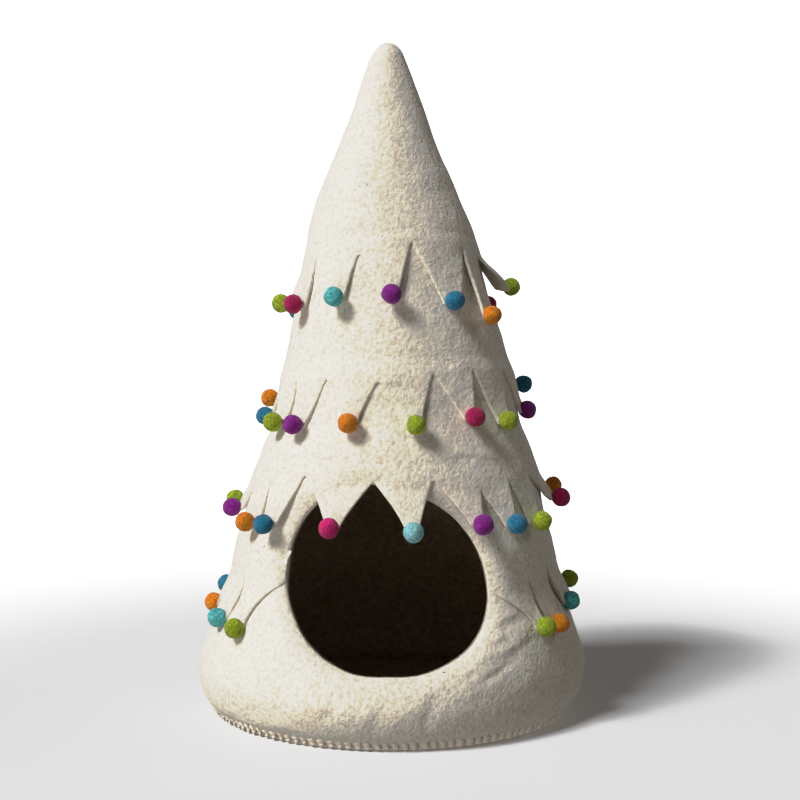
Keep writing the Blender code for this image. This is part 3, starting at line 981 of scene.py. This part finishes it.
def flap_place(u, v, top, left, right, tip):
    """The azimuth and height at u across and v down, and the shares down the flap and the band."""
    band = BAND_ROWS / (BAND_ROWS + FLAP_ROWS)
    root = left.height + u * (right.height - left.height)
    if v <= band:
        azimuth = left.azimuth + u * (right.azimuth - left.azimuth)
        return azimuth, top + (root - top) * v / band, 0.0, v / band
    down = (v - band) / (1 - band)
    half = math.degrees(TIP_WIDTH / 2 / np.interp(tip.height, outline[:, 0], outline[:, 1]))
    west = left.azimuth + (tip.azimuth - half - left.azimuth) * bowed(down, left.right_bow)
    east = right.azimuth + (tip.azimuth + half - right.azimuth) * bowed(down, right.left_bow)
    height = root + (tip.height - TIP_BELOW_BALL - root) * down
    return west + u * (east - west), height, down, 1.0


def collar_stand(down, felted, tip, twist, middle):
    """How far the outer side of a collar stands off the cone. The middle is 1 halfway across the flap."""
    fold = ROOT_FOLD * middle
    if down <= 0:
        band = SUNK + (BAND_STAND - SUNK) * (1 - math.cos(math.pi * felted)) / 2
        return band + fold * math.exp(-(((1 - felted) / FOLD_REACH[0]) ** 2))
    out = max(tip.stand - BEHIND_BALL - BAND_STAND, 0) * math.sin(down * math.pi / 2) ** CURL
    stand = max(BAND_STAND + out + twist * down**TWIST_GROWTH, CLOSEST)
    return stand + fold * math.exp(-((down / FOLD_REACH[1]) ** 2))


def thinned(stand, down, from_end):
    """The same stand, less near an open end, which is this share of a flap's width away."""
    blend = math.sin(min(from_end / END_BLEND, 1) * math.pi / 2)
    least = min(stand, END_STAND)
    return least + (stand - least) * (blend + (1 - blend) * down)


def clear_of_entrance(azimuth, height):
    """The same place, or if it lies inside the entrance's edge, the nearest one on that edge's roll."""
    x, _, z = cone(np.array([azimuth]), np.array([height]))[0]
    here = Vector((x, z)) - ENTRANCE_MIDDLE
    reach = skin_reach(math.degrees(math.atan2(here.y, here.x))) - ON_THE_ROLL
    if here.length >= reach:
        return azimuth, height
    there = ENTRANCE_MIDDLE + here.normalized() * reach
    return azimuth_of(there.x, there.y), there.y


print("A flap is a grid of", COLUMNS, "by", BAND_ROWS + FLAP_ROWS)

# %% [markdown]
# ## Building the collars
#
# Every flap is its own grid: the columns run from its left notch to its right one, and the rows from
# the band's top to the point. Neighbours share a column above the notch, so they are merged there. The
# grid is a single layer, so a Solidify modifier thickens it to real felt, and one subdivision rounds
# the cut edges. The collar reads the same relief as the wall, so its band follows every lump under it.

# %% The four collars
COLLAR_THICK = 3.8 * MM
COLLAR_GRAIN = (Grain(30 * MM, 0.7 * MM), Grain(12 * MM, 0.3 * MM))
GRAIN_GROWS = 4  # so the collar's own unevenness is all there a quarter of the way down a flap
SHARED_POINT = 0.05 * MM  # points of two neighbours nearer than this are one
SIDE_TWIST = 8 * MM  # how far a flap turns its face to the front at the cave's sides
TWIST = 1.2 * MM
TWIST_TURN = 2.4
TWISTED = {  # flaps that turn another way, counted from 0
    ("collar_1", 5): -9 * MM, ("collar_1", 6): -15 * MM, ("collar_1", 4): 3 * MM, ("collar_4", 2): 10 * MM,
}


def flap_twist(name, number, tip):
    turned = SIDE_TWIST * math.sin(math.radians(tip.azimuth)) + TWIST * math.sin(TWIST_TURN * number)
    return TWISTED.get((name, number), turned)


def from_open_end(name, number, u):
    """The share of a flap's width between this place and the collar's open end, or 1 if it has none."""
    if name in OPEN_COLLARS and number == 0:
        return u
    if name in OPEN_COLLARS and number == len(NOTCHES[name]) - 2:
        return 1 - u
    return 1


def flap_points(verts, name, number, tip, left, right):
    """Where the points of a square grid go to make this flap."""
    twist = flap_twist(name, number, tip)
    places = []
    for vert in verts:
        u, v = vert.co.x + 0.5, 0.5 - vert.co.y
        azimuth, height, down, felted = flap_place(u, v, COLLAR_TOPS[name] * MM, left, right, tip)
        azimuth = (azimuth + 180) % 360 - 180
        if name in OPEN_COLLARS and abs(azimuth) < LIP_WITHIN[0]:
            azimuth, height = clear_of_entrance(azimuth, height)
        stand = collar_stand(down, felted, tip, twist * (u - 0.5), math.sin(math.pi * u))
        places.append((azimuth, height, thinned(stand, down, from_open_end(name, number, u)), down))
    azimuth, height, stand, down = np.array(places).T
    points = cone(azimuth, height)
    stand = stand + wall_relief(azimuth, height, points) - drawn_in(height) * (1 - down)
    stand -= lip(azimuth, height, points) * (1 - down)
    stand += grain(points, COLLAR_GRAIN, seed=5) * np.minimum(down * GRAIN_GROWS, 1)
    return cone(azimuth, height, stand)


def zigzag_collar(name):
    bm = bmesh.new()
    notches = flap_notches(name)
    flaps = zip(flap_tips(name), notches[:-1], notches[1:], strict=True)
    for number, (tip, left, right) in enumerate(flaps):
        turns = round((left.azimuth + right.azimuth) / 2 / 360 - tip.azimuth / 360)
        tip = tip._replace(azimuth=tip.azimuth + 360 * turns)
        rows = BAND_ROWS + FLAP_ROWS
        verts = bmesh.ops.create_grid(bm, x_segments=COLUMNS, y_segments=rows, size=0.5)["verts"]
        for vert, point in zip(verts, flap_points(verts, name, number, tip, left, right)):
            vert.co = point
    bmesh.ops.remove_doubles(bm, verts=bm.verts, dist=SHARED_POINT)
    bmesh.ops.recalc_face_normals(bm, faces=bm.faces)
    if sum(face.normal.dot(face.calc_center_median() * Vector((1, 1, 0))) for face in bm.faces) < 0:
        bmesh.ops.reverse_faces(bm, faces=bm.faces)
    made = piece(name + "_felt", bm, [cream], [name])
    felted = made.modifiers.new("felt", "SOLIDIFY")
    felted.thickness = COLLAR_THICK
    felted.offset = -1
    rounded = made.modifiers.new("rounded", "SUBSURF")
    rounded.levels = rounded.render_levels = 1
    return made


collar_pieces = {name: zigzag_collar(name) for name in NOTCHES}

# %% [markdown]
# ## The cut sizes of the collars
#
# Everything here but the balls and the yarn is a sheet of felt. Each collar's strip is worked out
# flat, at the size that it was cut to, and printed. The wall would lie flat as a fan whose size is the
# slant by the foot's length, and its area is far less than that.

# %% The collars' flat strips
WALL_SLOPE = math.radians(14)


def flat_cut(name):
    """The width and the length of the strip that a collar was cut from."""
    notches = flap_notches(name)
    low = min(tip.height for tip in flap_tips(name))
    top = COLLAR_TOPS[name] * MM
    share = (notches[-1].azimuth - notches[0].azimuth) / 360
    middle = float(np.interp((top + low) / 2, outline[:, 0], outline[:, 1]))
    return (top - low) / math.cos(WALL_SLOPE), math.tau * middle * share


for name, made in collar_pieces.items():
    width, length = flat_cut(name)
    print(name, "was cut from a strip", round(length / MM), "by", round(width / MM), "mm")

steps = np.hypot(np.diff(outline[:, 0]), np.diff(outline[:, 1]))
radii = (outline[1:, 1] + outline[:-1, 1]) / 2
math.tau * outline[0, 1]
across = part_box("base_disc")[1].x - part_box("base_disc")[0].x

# %% [markdown]
# ## The floor and the sky
#
# The cave stands on pale paper that sweeps up to white behind it. A curved sweep would show its bend
# from the side, so the paper is flat and its own light grows to plain white further off. The sky is
# dim and warm for the cave and white for the camera, so that the shade keeps its depth.

# %% The floor and the sky
PAPER = (238, 239, 242)
FLOOR_SIZE = 6
FLOOR_FADE = (0.45, 1.3)  # metres from the cave, over which the floor turns to plain white light
BACKDROP = 2.0  # the strength of that light and of the sky as the camera sees it
SKY = (1.0, 0.93, 0.83, 1)
SKY_STRENGTH = 0.09


def white_paper():
    """A pale floor that turns to white further off, as a sweep of lit paper does."""
    stage = Nodes("white_paper")
    stage.shader.inputs["Base Color"].default_value = tone(PAPER)
    stage.shader.inputs["Roughness"].default_value = 0.9
    away = stage.add("ShaderNodeVectorMath", {0: stage.place}, operation="LENGTH").outputs["Value"]
    fade = stage.add("ShaderNodeMapRange", {"Value": away}, interpolation_type="SMOOTHSTEP")
    fade.inputs["From Min"].default_value, fade.inputs["From Max"].default_value = FLOOR_FADE
    light = stage.add("ShaderNodeEmission", {"Color": WHITE, "Strength": BACKDROP}).outputs[0]
    both = stage.add("ShaderNodeMixShader", {0: fade.outputs[0], 1: stage.shader.outputs[0], 2: light})
    stage.tree.links.new(both.outputs[0], stage.tree.nodes["Material Output"].inputs["Surface"])
    return stage.material


def studio_floor():
    bm = bmesh.new()
    bmesh.ops.create_grid(bm, x_segments=1, y_segments=1, size=FLOOR_SIZE)
    mesh = bpy.data.meshes.new("studio_floor")
    bm.to_mesh(mesh)
    bm.free()
    mesh.materials.append(white_paper())
    ground = bpy.data.objects.new("studio_floor", mesh)
    bpy.context.scene.collection.objects.link(ground)
    ground.visible_diffuse = False  # so that the dim sky alone sets the shade's strength
    ground.visible_shadow = False  # so that the low fill gets under the foot's curve
    ground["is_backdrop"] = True


def studio_sky():
    """A sky that lights the cave dimly and that the camera sees as white."""
    world = bpy.data.worlds.new("studio")
    bpy.context.scene.world = world
    world.use_nodes = True
    tree = world.node_tree
    dim = tree.nodes["Background"]
    bright = tree.nodes.new("ShaderNodeBackground")
    for sky, colour, strength in ((dim, SKY, SKY_STRENGTH), (bright, WHITE, BACKDROP)):
        sky.inputs["Color"].default_value = colour
        sky.inputs["Strength"].default_value = strength
    path = tree.nodes.new("ShaderNodeLightPath")
    either = tree.nodes.new("ShaderNodeMixShader")
    tree.links.new(path.outputs["Is Camera Ray"], either.inputs[0])
    tree.links.new(dim.outputs[0], either.inputs[1])
    tree.links.new(bright.outputs[0], either.inputs[2])
    tree.links.new(either.outputs[0], tree.nodes["World Output"].inputs["Surface"])


studio_floor()
studio_sky()
print("The floor turns to white from", FLOOR_FADE[0], "to", FLOOR_FADE[1], "m away")

# %% [markdown]
# ## The lamps
#
# A soft lamp from high on the front left is the main light. Two low warm ones fill the shadows and
# the foot's underside, and a weak one behind on the right draws that edge. Each is a sun with a wide
# angle and not an area lamp, because its light is then as strong on the tip as at the foot.

# %% The lamps
Lamp = collections.namedtuple("Lamp", "name azimuth elevation spread strength colour")  # in degrees
LAMPS = (
    Lamp("key", -53, 46, 20, 3.4, (1, 1, 1)), Lamp("fill", -75, -12, 70, 0.5, (1, 0.95, 0.86)),
    Lamp("front", -28, -34, 50, 0.85, (1, 0.96, 0.89)), Lamp("rim", 100, 25, 30, 0.36, (1, 0.96, 0.90)),
)


def hang(lamp):
    """Light from this lamp's direction, as soft as from a screen of its width."""
    light = bpy.data.lights.new(lamp.name, "SUN")
    light.angle, light.energy, light.color = math.radians(lamp.spread), lamp.strength, lamp.colour
    made = bpy.data.objects.new(lamp.name, light)
    bpy.context.scene.collection.objects.link(made)
    a, e = math.radians(lamp.azimuth), math.radians(lamp.elevation)
    back = Vector((math.sin(a) * math.cos(e), -math.cos(a) * math.cos(e), math.sin(e)))
    made.rotation_euler = (-back).to_track_quat("-Z", "Y").to_euler()


for lamp in LAMPS:
    hang(lamp)
print(len(LAMPS), "lamps light the cave")

# %% [markdown]
# ## The camera and its film
#
# The camera stands a metre and a half away at the height of the cave's middle and looks down a
# little. A photograph prints light felt with soft contrast and never burns it out. A curve over the
# standard view does that, and it leaves the colours of the balls alone more than a filmic view would.

# %% The camera and its film
FILM_WHITE = 1.6  # the light that prints as white
FILM_CURVE = (  # light, and how light it prints
    (0.28, 0.235), (0.42, 0.33), (0.55, 0.47), (0.68, 0.66), (0.80, 0.75), (0.95, 0.82), (1.2, 0.91),
)
CAMERA_PLACE = (0.00955, -1.466, 0.385)
CAMERA_DOWN = 1.803  # degrees below level
FOCAL_PIXELS = 1305.13  # as fitted to the picture
PICTURE_WIDTH = 800  # pixels
SENSOR_WIDTH = 36


def film(view):
    """Prints the middle tones with contrast and eases off in the light ones, as a camera does."""
    view.view_transform = "Standard"
    view.use_curve_mapping = True
    mapping = view.curve_mapping
    mapping.white_level = (FILM_WHITE,) * 3
    for light, printed in FILM_CURVE:
        mapping.curves[3].points.new(light / FILM_WHITE, printed)
    mapping.update()


camera = bpy.data.objects.new("camera", bpy.data.cameras.new("camera"))
camera.data.lens = FOCAL_PIXELS / PICTURE_WIDTH * SENSOR_WIDTH
camera.location = CAMERA_PLACE
camera.rotation_euler = (math.radians(90 - CAMERA_DOWN), 0, 0)
bpy.context.scene.collection.objects.link(camera)
bpy.context.scene.camera = camera
film(bpy.context.scene.view_settings)
print("The lens is", round(camera.data.lens, 1), "mm")

# %% Sizes and the end
dressed_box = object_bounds()
print("Solids", [round(side / MM) for side in cad_box[1] - cad_box[0]], "mm, dressed",
      [round(side / MM) for side in dressed_box[1] - dressed_box[0]], "mm")
